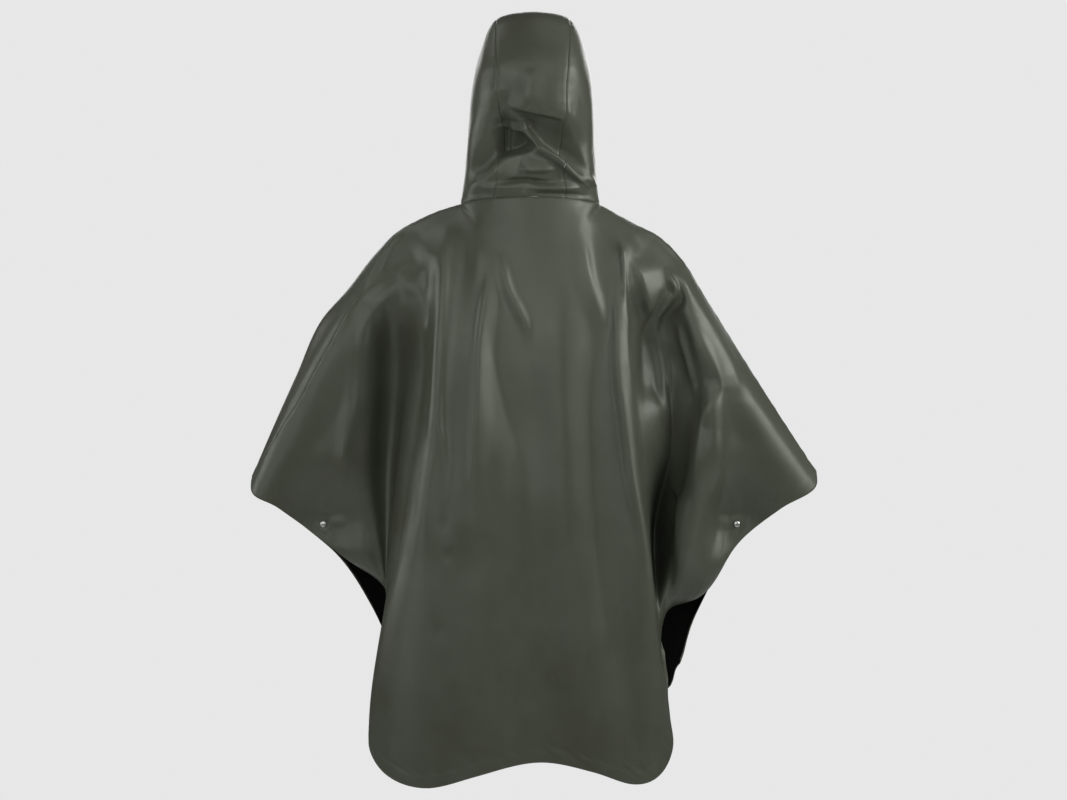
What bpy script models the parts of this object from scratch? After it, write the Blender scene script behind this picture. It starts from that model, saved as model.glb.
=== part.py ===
"""A hooded rain poncho, hood up and arms out, as it hangs on a wearer who isn't there.

Metres, +Z up. The garment faces -Y and the wearer's left is +X. The origin is midway between the two
sides of the neck, where the shoulders carry the garment.

A point of the body's cloth is named by two numbers. across runs along the shoulder and arm seam, from
0 at the neck's centre to HALF_SPAN at the wearer's left cuff, and below 0 on the right. place runs from
0 on top of the shoulder and arm down to 1 at the back's hem, and to -1 at the front's hem.
"""

import bmesh
import bpy
import numpy as np

# ---------------------------------------------------------------- driving dimensions

WALL = 0.0015  # cloth thickness
SEAM_GAP = 0.0003  # clear space between two sewn pieces
NECK_CORNER = 0.0010  # the back and the front stop short of the neck by this much along the shoulder
HALF_SPAN = 0.748  # neck centre to cuff corner, along the shoulder and arm seam
NECK_HALF = 0.122  # neck centre to the side of the neck, along the same line
LIMB_BACK = 0.92  # how far the cloth has gone over the arm by station OVER, in limb radii,
LIMB_DOWN = 0.72  # and how far it has come down
OVER = 0.06
NECK_FALL = (0.012, 0.0, -0.018)  # from there, the front falls away beside the neck by this much more
HOOD_LEAN = 0.018  # the hood leans to the wearer's right by this much of its height

SNAP_X = 0.363  # the snaps' place on both sides
SNAP_Y = -0.020
SNAP_Z = -0.559
SNAP_FLAT = 0.030  # radius of the flat patch of cloth that a snap holds
SNAP_REACH = 0.085  # and where its pull ends
SNAP_DEPTH = 0.100  # it pulls no cloth that lies further off than this along Y
SNAP_CLOTH_GAP = 0.0044  # clear space between the two cloths at a snap
CAP_RADIUS = 0.0058
CAP_HEIGHT = 0.0026
STUD_RADIUS = 0.0052
POST_RADIUS = 0.0042
POST_HEIGHT = 0.0010
SNAP_SEGMENTS = 20

BACK_ROWS = 24
FRONT_ROWS = 20
HOOD_ROWS = 24
NECK_COLUMNS = 6  # mesh columns between the neck's centre and its side, which the hood shares
ROW_CROWDING = 1.25  # rows stand closer near the seam
SEAM_BLEND = 0.4  # by this place the cloth no longer follows the top line's small bends
FOLD_HEAD = 0.16  # a fold rises and dies away over these shares of its length
FOLD_FOOT = 0.20

# Profiles of the snap's pieces, as shares of their radius and their height, from the axis at the top.
CAP_PROFILE = [(0, 1), (0.55, 0.88), (0.86, 0.55), (1, 0.22), (1, 0), (0, 0)]
STUD_PROFILE = [(0, 1), (0.9, 1), (0.9, 0.5), (1, 0.4), (1, 0), (0, 0)]
POST_PROFILE = [(0, 1), (0.85, 1), (1, 0.6), (1, 0), (0, 0)]

OLIVE = (0.075, 0.083, 0.062, 1.0)
PEWTER = (0.62, 0.62, 0.60, 1.0)

# ---------------------------------------------------------------- tables

# How many mesh columns lie between the neck's centre and each place across.
COLUMNS = [(0.0, 0), (NECK_HALF, NECK_COLUMNS), (0.34, 16), (0.56, 22), (HALF_SPAN, 30)]

# The top of the shoulder and arm, from the right cuff's corner to the left one's.
TOP_LINE = [
    # across,  x,       y,      z
    (-0.748, -0.504, -0.050, -0.466),
    (-0.554, -0.4005, -0.030, -0.309),
    (-0.382, -0.3085, -0.013, -0.1635),
    (-0.296, -0.2625, -0.006, -0.091),
    (-0.248, -0.229, -0.003, -0.0575),
    (-0.188, -0.175, 0.000, -0.029),
    (-0.122, -0.121, 0.002, 0.0005),
    (0.122, 0.121, 0.002, 0.0005),
    (0.188, 0.184, 0.000, -0.021),
    (0.248, 0.2365, -0.003, -0.051),
    (0.296, 0.269, -0.006, -0.084),
    (0.382, 0.323, -0.013, -0.152),
    (0.441, 0.3625, -0.018, -0.1965),
    (0.554, 0.411, -0.030, -0.299),
    (0.748, 0.490, -0.050, -0.476),
]

# Radius of what the cloth rounds, under the top line.
LIMB = [(0.122, 0.045), (0.188, 0.050), (0.248, 0.052), (0.382, 0.046), (0.554, 0.040), (0.748, 0.029)]

# Where the seam between front and back lies: on top, but set back on the left arm, whose front cloth
# wraps over the top. A row gives across and the place.
SEAM_PLACE = [(0.20, 0.0), (0.26, 0.012), (0.32, 0.050), (0.42, 0.090), (0.55, 0.105), (0.66, 0.075), (0.748, 0.014)]

# Ribs of the back, each a line that runs down the cloth from the top to the hem. Each has three points
# on the way and one on the hem, and serves both sides.
BACK_RIBS = [
    # across, quarter way,             half way,                three quarters,          hem
    (0.000, (0.000, 0.116, -0.20), (0.000, 0.126, -0.45), (0.000, 0.139, -0.71), (0.000, 0.152, -0.960)),
    (0.066, (0.066, 0.118, -0.20), (0.074, 0.133, -0.46), (0.088, 0.150, -0.72), (0.100, 0.164, -0.976)),
    (0.122, (0.124, 0.110, -0.21), (0.138, 0.126, -0.47), (0.158, 0.140, -0.735), (0.178, 0.148, -0.998)),
    (0.188, (0.164, 0.092, -0.22), (0.184, 0.108, -0.48), (0.213, 0.118, -0.74), (0.236, 0.116, -0.984)),
    (0.248, (0.184, 0.054, -0.24), (0.211, 0.066, -0.50), (0.246, 0.078, -0.742), (0.264, 0.066, -0.940)),
    (0.296, (0.220, 0.006, -0.26), (0.231, 0.000, -0.50), (0.247, 0.036, -0.738), (0.260, 0.030, -0.895)),
    (0.382, (0.284, 0.026, -0.32), (0.276, 0.024, -0.51), (0.243, -0.002, -0.728), (0.250, 0.000, -0.856)),
    (0.554, (0.367, 0.030, -0.420), (0.312, 0.036, -0.568), (0.238, -0.036, -0.710), (0.241, -0.028, -0.820)),
    (0.748, (0.440, 0.006, -0.531), (0.334, -0.006, -0.611), (0.240, -0.058, -0.688), (0.238, -0.052, -0.788)),
]

FRONT_RIBS = [
    # across, quarter way,             half way,                three quarters,          hem
    (0.000, (0.000, -0.134, -0.27), (0.000, -0.148, -0.48), (0.000, -0.158, -0.70), (0.000, -0.166, -0.935)),
    (0.066, (0.068, -0.134, -0.27), (0.076, -0.156, -0.49), (0.086, -0.170, -0.71), (0.096, -0.182, -0.940)),
    (0.122, (0.130, -0.122, -0.25), (0.142, -0.144, -0.48), (0.150, -0.162, -0.70), (0.158, -0.176, -0.922)),
    (0.188, (0.184, -0.104, -0.25), (0.192, -0.130, -0.48), (0.196, -0.154, -0.69), (0.202, -0.166, -0.896)),
    (0.248, (0.222, -0.078, -0.27), (0.226, -0.108, -0.50), (0.228, -0.142, -0.69), (0.231, -0.150, -0.870)),
    (0.296, (0.252, -0.062, -0.30), (0.250, -0.080, -0.53), (0.248, -0.124, -0.69), (0.246, -0.128, -0.846)),
    (0.382, (0.300, -0.070, -0.33), (0.278, -0.084, -0.53), (0.258, -0.106, -0.70), (0.252, -0.108, -0.822)),
    (0.554, (0.372, -0.088, -0.42), (0.312, -0.086, -0.572), (0.270, -0.082, -0.70), (0.252, -0.086, -0.798)),
    (0.748, (0.440, -0.084, -0.532), (0.341, -0.052, -0.612), (0.284, -0.056, -0.697), (0.250, -0.064, -0.774)),
]

# Where the left and the right differ: each row moves the cloth about one spot by a soft hump.
NUDGES = [
    # across, place, reach across, reach down, by x,   y,      z
    (0.270, 0.92, 0.120, 0.24, 0.016, 0.000, 0.000),
    (-0.270, 0.80, 0.140, 0.30, 0.027, 0.000, 0.003),
    (0.090, 1.00, 0.050, 0.12, 0.000, 0.000, -0.007),
    (0.000, 1.00, 0.090, 0.25, -0.016, 0.000, 0.000),
    (-0.310, 0.54, 0.052, 0.13, 0.010, -0.080, 0.000),
    (-0.460, 0.56, 0.070, 0.16, 0.016, 0.016, 0.000),
    (-0.740, 0.62, 0.200, 0.13, -0.016, 0.000, -0.040),
    (-0.680, -0.66, 0.160, 0.16, -0.010, 0.000, -0.012),
    (-0.640, -0.92, 0.160, 0.22, -0.010, 0.000, -0.024),
]

# The body's largest folds, each a soft ridge, or a trough where its height is below 0, that runs along
# a curve through three spots in the cloth.
FOLDS = [
    # head across, place; middle across, place; foot across, place; width, height
    (0.150, 0.08, 0.158, 0.30, 0.170, 0.60, 0.024, 0.006),
    (0.075, 0.10, 0.085, 0.30, 0.090, 0.62, 0.026, 0.006),
    (-0.110, 0.10, -0.125, 0.40, -0.135, 0.95, 0.040, -0.009),
    (-0.185, 0.08, -0.190, 0.35, -0.215, 0.90, 0.024, 0.008),
    (-0.290, 0.10, -0.290, 0.22, -0.280, 0.34, 0.026, -0.010),
    (-0.350, 0.12, -0.470, 0.30, -0.560, 0.52, 0.034, 0.010),
    (0.330, 0.12, 0.420, 0.25, 0.520, 0.40, 0.040, 0.006),
    (0.060, -0.12, 0.072, -0.50, 0.085, -0.98, 0.030, 0.009),
    (-0.050, -0.10, -0.068, -0.50, -0.090, -0.98, 0.032, 0.008),
    (0.150, -0.15, 0.160, -0.45, 0.170, -0.90, 0.026, -0.008),
    (-0.145, -0.12, -0.160, -0.45, -0.175, -0.92, 0.028, -0.009),
    (0.340, -0.12, 0.430, -0.26, 0.520, -0.44, 0.032, 0.008),
    (-0.330, -0.14, -0.420, -0.30, -0.530, -0.46, 0.030, 0.008),
]

# Hoops of the hood, from the neck seam back and over the head to the face opening. Each runs from the
# throat round the side to the nape or the top, through one point at each share in HOOP_ROUND.
HOOP_ROUND = (0.00, 0.25, 0.50, 0.6667, 0.8333, 1.00)
STRIP_ROUND = 1 - 2 / 12  # where the centre strip is sewn to the side pieces
HOOPS = [
    # throat,            jaw,                     side,                    upper side,              strip seam,              centre
    ((0, -0.086, -0.052), (0.080, -0.060, -0.034), (0.121, 0.002, 0.0005), (0.109, 0.038, 0.003), (0.061, 0.069, 0.008), (0, 0.078, 0.010)),
    ((0, -0.091, -0.043), (0.081, -0.064, 0.010), (0.115, 0.006, 0.045), (0.101, 0.048, 0.048), (0.057, 0.075, 0.050), (0, 0.083, 0.052)),
    ((0, -0.095, -0.036), (0.085, -0.062, 0.045), (0.1105, 0.012, 0.095), (0.099, 0.056, 0.100), (0.054, 0.082, 0.105), (0, 0.088, 0.107)),
    ((0, -0.099, -0.029), (0.087, -0.062, 0.075), (0.1085, 0.014, 0.138), (0.099, 0.066, 0.150), (0.056, 0.106, 0.156), (0, 0.116, 0.158)),
    ((0, -0.102, -0.023), (0.087, -0.066, 0.095), (0.1055, 0.012, 0.185), (0.095, 0.074, 0.215), (0.060, 0.114, 0.232), (0, 0.124, 0.238)),
    ((0, -0.106, -0.017), (0.085, -0.078, 0.108), (0.0995, -0.018, 0.220), (0.089, 0.032, 0.268), (0.063, 0.060, 0.306), (0, 0.070, 0.319)),
    ((0, -0.109, -0.011), (0.082, -0.094, 0.115), (0.0945, -0.058, 0.212), (0.084, -0.036, 0.268), (0.061, -0.018, 0.319), (0, -0.012, 0.3315)),
    ((0, -0.113, -0.004), (0.077, -0.110, 0.110), (0.0870, -0.114, 0.180), (0.078, -0.118, 0.230), (0.058, -0.120, 0.266), (0, -0.123, 0.277)),
]

# The hood's largest folds, in the same way. round is above 1 past the centre on the right side, and up
# runs from 0 at the neck seam to 1 at the face.
HOOD_FOLDS = [
    # head round, up; middle round, up; foot round, up; width, height
    (0.90, 0.345, 1.06, 0.250, 1.36, 0.100, 0.070, 0.006),
]

SIDES = {"left": 1, "right": -1}

# ---------------------------------------------------------------- curves and surfaces


def through(stations, points, at):
    """The smooth cubic through each point at its station, read at the stations in at."""
    stations = np.asarray(stations, float)
    points = np.asarray(points, float)
    at = np.asarray(at, float)
    steps = np.diff(stations)[:, None]
    slopes = np.diff(points, axis=0) / steps
    tangents = np.empty_like(points)
    tangents[0] = 1.5 * slopes[0] - 0.5 * slopes[1]
    tangents[-1] = 1.5 * slopes[-1] - 0.5 * slopes[-2]
    tangents[1:-1] = (steps[1:] * slopes[:-1] + steps[:-1] * slopes[1:]) / (steps[1:] + steps[:-1])
    span = np.clip(np.searchsorted(stations, at, side="right") - 1, 0, len(stations) - 2)
    width = steps[span]
    t = ((at - stations[span])[:, None]) / width
    return (
        (2 * t**3 - 3 * t**2 + 1) * points[span]
        + (t**3 - 2 * t**2 + t) * width * tangents[span]
        + (3 * t**2 - 2 * t**3) * points[span + 1]
        + (t**3 - t**2) * width * tangents[span + 1]
    )


def smooth_step(t):
    t = np.clip(t, 0, 1)
    return t * t * (3 - 2 * t)


def hoop_points(hoop, rounds):
    """A hoop read at shares round it: 0 is the throat, 1 the nape or the top, and 2 the throat again."""
    half = np.array(hoop, float)
    other_half = half[::-1] * (-1, 1, 1)
    stations = [-HOOP_ROUND[1], *HOOP_ROUND, *(2 - np.array(HOOP_ROUND[-2::-1])), 2 + HOOP_ROUND[1]]
    points = np.concatenate([other_half[-2:-1], half, other_half[1:], half[1:2]])
    return through(stations, points, rounds)


def top_points(across, behind):
    """Where the cloth starts: the top of the arm and shoulder, and the neck seam between them."""
    table = np.array(TOP_LINE)
    half = len(table) // 2
    right = through(table[:half, 0], table[:half, 1:], across)
    left = through(table[half:, 0], table[half:, 1:], across)
    share = np.clip(0.5 * across / NECK_HALF, -0.5, 0.5)
    neck = hoop_points(HOOPS[0], 1 - share if behind else np.mod(share, 2))
    beyond = np.where((across < 0)[:, None], right, left)
    return np.where((np.abs(across) < NECK_HALF)[:, None], neck, beyond)


def rib_line(rib, side, behind, places):
    """One rib on one side, read at distances in places from the top at 0 to the hem at 1."""
    across = rib[0]
    top = top_points(np.array([side * across]), behind)[0]
    stations = [0.0, 0.25, 0.50, 0.75, 1.0]
    points = [top] + [np.array(p) * (side, 1, 1) for p in rib[1:]]
    if across >= NECK_HALF:
        limbs = np.array(LIMB)
        limb = np.interp(across, limbs[:, 0], limbs[:, 1])
        away = 1 if behind else -1
        stations = [-OVER, 0.0, OVER] + stations[1:]
        over = top + limb * np.array([0, away * LIMB_BACK, -LIMB_DOWN])
        other_over = top + limb * np.array([0, -away * LIMB_BACK, -LIMB_DOWN])
        if across == NECK_HALF and not behind:
            over = over + np.array(NECK_FALL) * (side, 1, 1)
        points = [other_over, top, over] + points[1:]
    return through(stations, points, places)


def half_sheet(ribs, behind, across, places):
    """The back's or the front's points for a grid of places, one column for each entry of across."""
    signed = [(rib, -1) for rib in ribs[:0:-1]] + [(rib, 1) for rib in ribs]
    stations = [side * rib[0] for rib, side in signed]
    shares = through(stations, np.eye(len(stations)), across)  # how much each rib counts in each column
    lines = np.array([rib_line(rib, side, behind, places.ravel()) for rib, side in signed])
    starts = np.array([rib_line(rib, side, behind, [0.0])[0] for rib, side in signed])
    points = np.einsum("cs,srcx->rcx", shares, lines.reshape(-1, *places.shape, 3))
    fade = 1 - smooth_step(places / SEAM_BLEND)
    return points + fade[..., None] * (top_points(across, behind) - shares @ starts)


def fold_height(row, across, place):
    """How far one fold lifts each spot: a soft bump beside a curve, fading at both ends."""
    head_across, head, middle_across, middle, foot_across, foot, width, height = row
    share = (middle - head) / (foot - head)
    t = np.clip((place - head) / (foot - head), 0, 1)
    line = head_across * (t - share) * (t - 1) / share
    line = line + middle_across * t * (t - 1) / (share * (share - 1))
    line = line + foot_across * t * (t - share) / (1 - share)
    beside = (across - line) / width
    along = (place - head) / (foot - head)
    ends = smooth_step(along / FOLD_HEAD + 0.5) * smooth_step((1 - along) / FOLD_FOOT + 0.5)
    return height * np.exp(-beside * beside) * ends


def normals_of(points, outward):
    """Unit normals of a grid of points, turned to the side where outward is mostly positive."""
    normals = np.cross(np.gradient(points, axis=0), np.gradient(points, axis=1))
    normals /= np.linalg.norm(normals, axis=2, keepdims=True) + 1e-12
    return normals * np.sign((normals * outward).sum(axis=2).mean())


def pinch_at_snaps(points, away):
    """Draws the cloth near each snap flat, on its own side of the snap's plane, which stands across Y."""
    moved = points.copy()
    for side in SIDES.values():
        reach = np.hypot(points[..., 0] - side * SNAP_X, points[..., 2] - SNAP_Z)
        near = 1 - smooth_step((reach - SNAP_FLAT) / (SNAP_REACH - SNAP_FLAT))
        near = near * (np.abs(points[..., 1] - SNAP_Y) < SNAP_DEPTH)
        target = SNAP_Y + away * (SNAP_CLOTH_GAP + WALL) / 2
        moved[..., 1] += near * (target - points[..., 1])
    return moved


def body_points(across, places, away):
    """The body's cloth for a grid of places. away is 1 for the back panel and -1 for the front one."""
    back = half_sheet(BACK_RIBS, True, across, np.maximum(places, 0))
    front = half_sheet(FRONT_RIBS, False, across, np.maximum(-places, 0))
    behind = places > 0 if away < 0 else places >= 0
    points = np.where(behind[..., None], back, front)
    spread = np.broadcast_to(across, places.shape)
    for at, place, reach_across, reach_down, dx, dy, dz in NUDGES:
        hump = np.exp(-(((spread - at) / reach_across) ** 2) - ((places - place) / reach_down) ** 2)
        points = points + hump[..., None] * (dx, dy, dz)
    lift = sum(fold_height(row, spread, places) for row in FOLDS)
    points = points + lift[..., None] * normals_of(points, (0, away, 0))
    return pinch_at_snaps(points, away)


def hood_points(up, rounds):
    """The hood's cloth, a grid of up by rounds, where rounds above 1 lie past the centre on the right."""
    lines = np.array([hoop_points(hoop, rounds) for hoop in HOOPS])
    stations = np.linspace(0, 1, len(lines))
    grid = through(stations, lines.reshape(len(lines), -1), up).reshape(len(up), len(rounds), 3)
    grid[..., 0] -= HOOD_LEAN * (grid[..., 2] - lines[0, :, 2])
    spread, rise = np.meshgrid(rounds, up)
    lift = sum(fold_height(row, spread, rise) for row in HOOD_FOLDS)
    return grid + lift[..., None] * normals_of(grid, grid - grid.mean(axis=(0, 1)))


# ---------------------------------------------------------------- meshes


def unit(vectors):
    return vectors / np.linalg.norm(vectors, axis=1, keepdims=True)


def draw_back(points, row, beyond):
    """Pulls an edge row of the grid towards the row beside it, to stop short of the seam.

    beyond is the next piece's row past the seam. The more the cloth turns there, the further the pull.
    """
    seam = unit(np.gradient(points[row], axis=0))
    inward = unit(points[1 if row == 0 else -2] - points[row])
    onward = beyond - points[row]
    inward_square = inward - (inward * seam).sum(axis=1, keepdims=True) * seam
    onward_square = onward - (onward * seam).sum(axis=1, keepdims=True) * seam
    turn = np.pi - np.arccos(np.clip((unit(inward_square) * unit(onward_square)).sum(axis=1), -1, 1))
    clear = SEAM_GAP / 2 + WALL / 2 * np.tan(turn / 2)
    pull = clear / np.linalg.norm(inward_square, axis=1)
    points[row] += inward * pull[:, None]


def material(name, colour, roughness, metallic=0.0):
    made = bpy.data.materials.new(name)
    made.use_nodes = True
    shader = made.node_tree.nodes["Principled BSDF"]
    shader.inputs["Base Color"].default_value = colour
    shader.inputs["Roughness"].default_value = roughness
    shader.inputs["Metallic"].default_value = metallic
    return made


def cloth(name, points, finish, collection, flip=False):
    """A named wall of cloth on a grid of points: an open sheet given its thickness by Solidify."""
    rows, columns = points.shape[:2]
    mesh = bmesh.new()
    corners = [mesh.verts.new(p) for p in points.reshape(-1, 3)]
    for r in range(rows - 1):
        for c in range(columns - 1):
            face = [corners[r * columns + c], corners[r * columns + c + 1]]
            face += [corners[(r + 1) * columns + c + 1], corners[(r + 1) * columns + c]]
            mesh.faces.new(face[::-1] if flip else face)
    data = bpy.data.meshes.new(name)
    mesh.to_mesh(data)
    mesh.free()
    data.materials.append(finish)
    data.shade_smooth()
    piece = bpy.data.objects.new(name, data)
    collection.objects.link(piece)
    wall = piece.modifiers.new("Wall", "SOLIDIFY")
    wall.thickness = WALL
    wall.offset = 0.0
    return piece


def body_columns():
    """The places across of the body's mesh columns, from the right cuff to the left one."""
    stops, counts = np.array(COLUMNS).T
    half = np.interp(np.arange(counts[-1] + 1), counts, stops)
    return np.concatenate([-half[:0:-1], half])


def body_grid(away, rows):
    """The back's points, or the front's, from its seam down to its hem."""
    across = body_columns()
    seam_table = np.array(SEAM_PLACE)
    seam = np.interp(across, seam_table[:, 0], seam_table[:, 1])
    shares = np.linspace(0, 1, rows + 1) ** ROW_CROWDING
    return body_points(across, seam + shares[:, None] * (away - seam), away)


def open_seams(back, front, hood):
    """Draws the back, the front and the whole hood back from the seams between them."""
    centre = back.shape[1] // 2
    nape = hood.shape[1] // 2
    neck = slice(centre - NECK_COLUMNS, centre + NECK_COLUMNS + 1)
    over_back = front[1].copy()
    over_back[neck] = hood[1, nape + NECK_COLUMNS : nape - NECK_COLUMNS - 1 : -1]
    over_front = back[1].copy()
    over_front[neck] = np.concatenate([hood[1, nape + NECK_COLUMNS :], hood[1, 1 : NECK_COLUMNS + 1]])
    left_front = front[1, centre : centre + NECK_COLUMNS]
    right_front = front[1, centre - NECK_COLUMNS + 1 : centre + 1]
    under_hood = np.concatenate([left_front, back[1, neck][::-1], right_front])
    under_hood[NECK_COLUMNS] = back[0, neck.stop]
    under_hood[-NECK_COLUMNS - 1] = back[0, neck.start - 1]
    draw_back(hood, 0, under_hood)
    for panel, over in ((back, over_back), (front, over_front)):
        draw_back(panel, 0, over)
        corners = panel[0, [neck.start, neck.stop - 1]]
        outward = unit(panel[0, [neck.start - 1, neck.stop]] - corners)
        panel[0, [neck.start, neck.stop - 1]] = corners + NECK_CORNER * outward


def build_hood(hood, finish, collection):
    """The hood's left side, centre strip and right side, cut from its one grid of points."""
    sideways = hood.transpose(1, 0, 2)
    last = len(sideways) - 1
    left_cut = round(STRIP_ROUND * last / 2)
    cuts = {"left": (0, left_cut), "strip": (left_cut, last - left_cut), "right": (last - left_cut, last)}
    for name, (low, high) in cuts.items():
        piece = sideways[low : high + 1].copy()
        draw_back(piece, 0, sideways[low - 1 if low else last - 1])
        draw_back(piece, -1, sideways[high + 1 if high < last else 1])
        cloth(f"hood_{name}", piece.transpose(1, 0, 2), finish, collection)


def turned(name, profile, radius, height, centre, facing, finish, collection):
    """A round piece turned about its axis, which lies along Y and points to the side of facing."""
    data = bpy.data.meshes.new(name)
    outline = [(radius * across, 0, height * up) for across, up in profile]
    data.from_pydata(outline, [(k, k + 1) for k in range(len(profile) - 1)], [])
    data.materials.append(finish)
    piece = bpy.data.objects.new(name, data)
    collection.objects.link(piece)
    spin = piece.modifiers.new("Turn", "SCREW")
    spin.steps = SNAP_SEGMENTS
    spin.render_steps = SNAP_SEGMENTS
    spin.use_merge_vertices = True
    spin.merge_threshold = 0.00001
    piece.rotation_euler = (-facing * np.pi / 2, 0, 0)
    piece.location = centre


def build_snap(name, side, finish, collection):
    """A domed cap on the back, the joined socket and stud between the cloths, and a post on the front."""
    centre = np.array([side * SNAP_X, SNAP_Y, SNAP_Z])
    outside = np.array([0, SNAP_CLOTH_GAP / 2 + WALL + SEAM_GAP, 0])
    inside = np.array([0, SNAP_CLOTH_GAP / 2 - SEAM_GAP, 0])
    stud_height = 2 * inside[1]
    turned(f"snap_cap_{name}", CAP_PROFILE, CAP_RADIUS, CAP_HEIGHT, centre + outside, 1, finish, collection)
    turned(f"snap_stud_{name}", STUD_PROFILE, STUD_RADIUS, stud_height, centre - inside, 1, finish, collection)
    turned(f"snap_post_{name}", POST_PROFILE, POST_RADIUS, POST_HEIGHT, centre - outside, -1, finish, collection)


def main():
    for old in list(bpy.data.objects):
        bpy.data.objects.remove(old, do_unlink=True)
    garment = bpy.data.collections.new("rain_poncho")
    bpy.context.scene.collection.children.link(garment)
    olive = material("olive_coated_cloth", OLIVE, 0.42)
    pewter = material("pewter_snap", PEWTER, 0.3, 1.0)

    back = body_grid(1, BACK_ROWS)
    front = body_grid(-1, FRONT_ROWS)
    hood = hood_points(np.linspace(0, 1, HOOD_ROWS + 1), np.linspace(0, 2, 4 * NECK_COLUMNS + 1))
    open_seams(back, front, hood)
    cloth("back", back, olive, garment)
    cloth("front", front, olive, garment, flip=True)
    build_hood(hood, olive, garment)
    for name, side in SIDES.items():
        build_snap(name, side, pewter, garment)


main()
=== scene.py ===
"""A rain poncho of coated cloth, hood up and arms out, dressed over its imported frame.

Metres, +Z up. The garment faces -Y and the wearer's left is +X. A spot on the body's cloth is named by
across, its distance along the shoulder and arm seam from the neck's centre, below 0 on the wearer's
right, and by place, which runs from 0 on top of the shoulder to 1 at the back's hem and -1 at the front's.
"""

import bpy
import numpy as np
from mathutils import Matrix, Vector


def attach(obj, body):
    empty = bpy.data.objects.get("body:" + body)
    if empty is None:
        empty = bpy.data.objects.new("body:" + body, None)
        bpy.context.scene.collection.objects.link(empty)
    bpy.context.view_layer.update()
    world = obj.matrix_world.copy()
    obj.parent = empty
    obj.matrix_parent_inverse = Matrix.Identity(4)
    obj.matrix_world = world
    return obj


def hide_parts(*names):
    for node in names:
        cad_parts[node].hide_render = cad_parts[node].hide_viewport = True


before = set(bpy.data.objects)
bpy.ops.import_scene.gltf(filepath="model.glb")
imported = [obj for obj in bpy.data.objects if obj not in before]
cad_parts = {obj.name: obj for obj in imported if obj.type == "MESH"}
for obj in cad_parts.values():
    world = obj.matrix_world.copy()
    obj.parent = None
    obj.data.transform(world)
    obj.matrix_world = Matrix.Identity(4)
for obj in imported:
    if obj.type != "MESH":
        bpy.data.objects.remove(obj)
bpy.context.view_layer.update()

# ---------------------------------------------------------------- camera, floor and light
# A plain studio: a camera straight behind the garment, a pale floor where the wearer would stand, an even
# pale background, and a ring of large soft lights, the strongest of them on the wearer's right.

CAMERA_PLACE = Vector((-0.0061, 5.5, -0.34125))
VIEW_WIDTH = 1.867  # what the camera takes in at the garment's middle
SENSOR = 36.0  # width of the camera's sensor, in millimetres
FLOOR_DROP = 1.50
FLOOR_RADIUS = 3.4
FLOOR_CORNERS = 96
FLOOR_ROUGHNESS = 0.9
PALE = (0.80, 0.80, 0.80, 1.0)
ROOM_LIGHT = 0.08  # what the room throws back onto the cloth, beside the pale background's 1
AIM = Vector((0.0, 0.0, -0.10))  # what all the lights look at
LIGHT_AWAY = 2.0
LIGHT_SIDE = 1.2
LIGHTS = [
    # name, degrees round from straight behind towards the wearer's right, degrees up, watts
    ("right", 76, 16, 22.0),
    ("right_high", 68, 34, 5.5),
    ("mid_right", 50, 8, 8.0),
    ("back_right", 22, 34, 4.0),
    ("back", -8, 6, 7.0),
    ("back_left", -25, 28, 6.0),
    ("left_low", -52, -4, 6.0),
    ("left", -92, 6, 10.0),
    ("left_high", -100, 55, 4.5),
    ("over", 90, 75, 2.0),
    ("front_left", -165, 15, 9.0),
    ("front_right", 165, 20, 12.0),
]


def add_node(tree, kind, sockets=None, **settings):
    """Adds a shader node. sockets holds an input's value, or the output that feeds it, by name or place."""
    made = tree.nodes.new(kind)
    for name, value in settings.items():
        setattr(made, name, value)
    for name, value in (sockets or {}).items():
        if isinstance(value, bpy.types.NodeSocket):
            tree.links.new(value, made.inputs[name])
        else:
            made.inputs[name].default_value = value
    return made


def new_finish(name):
    """A new material, with its node tree and its shader."""
    made = bpy.data.materials.new(name)
    made.use_nodes = True
    return made, made.node_tree, made.node_tree.nodes["Principled BSDF"]


def new_piece(name, points, faces, finishes):
    """A mesh piece in the scene, with its points in their place and its finishes in order."""
    data = bpy.data.meshes.new(name)
    data.from_pydata(points, [], faces)
    for finish in finishes:
        data.materials.append(finish)
    piece = bpy.data.objects.new(name, data)
    scene.collection.objects.link(piece)
    return piece


scene = bpy.context.scene
scene.view_settings.view_transform = "Standard"

camera_data = bpy.data.cameras.new("camera")
camera_data.sensor_width = SENSOR
camera_data.lens = SENSOR * CAMERA_PLACE.y / VIEW_WIDTH
camera = bpy.data.objects.new("camera", camera_data)
camera.location = CAMERA_PLACE
camera.rotation_euler = (np.pi / 2, 0, np.pi)  # level, and looking along -Y
scene.collection.objects.link(camera)
scene.camera = camera

for light_name, degrees_round, degrees_up, light_watts in LIGHTS:
    light_data = bpy.data.lights.new(light_name, "AREA")
    light_data.size = LIGHT_SIDE
    light_data.energy = light_watts
    light = bpy.data.objects.new(light_name, light_data)
    turned, raised = np.radians(degrees_round), np.radians(degrees_up)
    towards = Vector((-np.sin(turned) * np.cos(raised), np.cos(turned) * np.cos(raised), np.sin(raised)))
    light.location = AIM + LIGHT_AWAY * towards
    light.rotation_euler = (AIM - light.location).to_track_quat("-Z", "Y").to_euler()
    scene.collection.objects.link(light)

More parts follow.
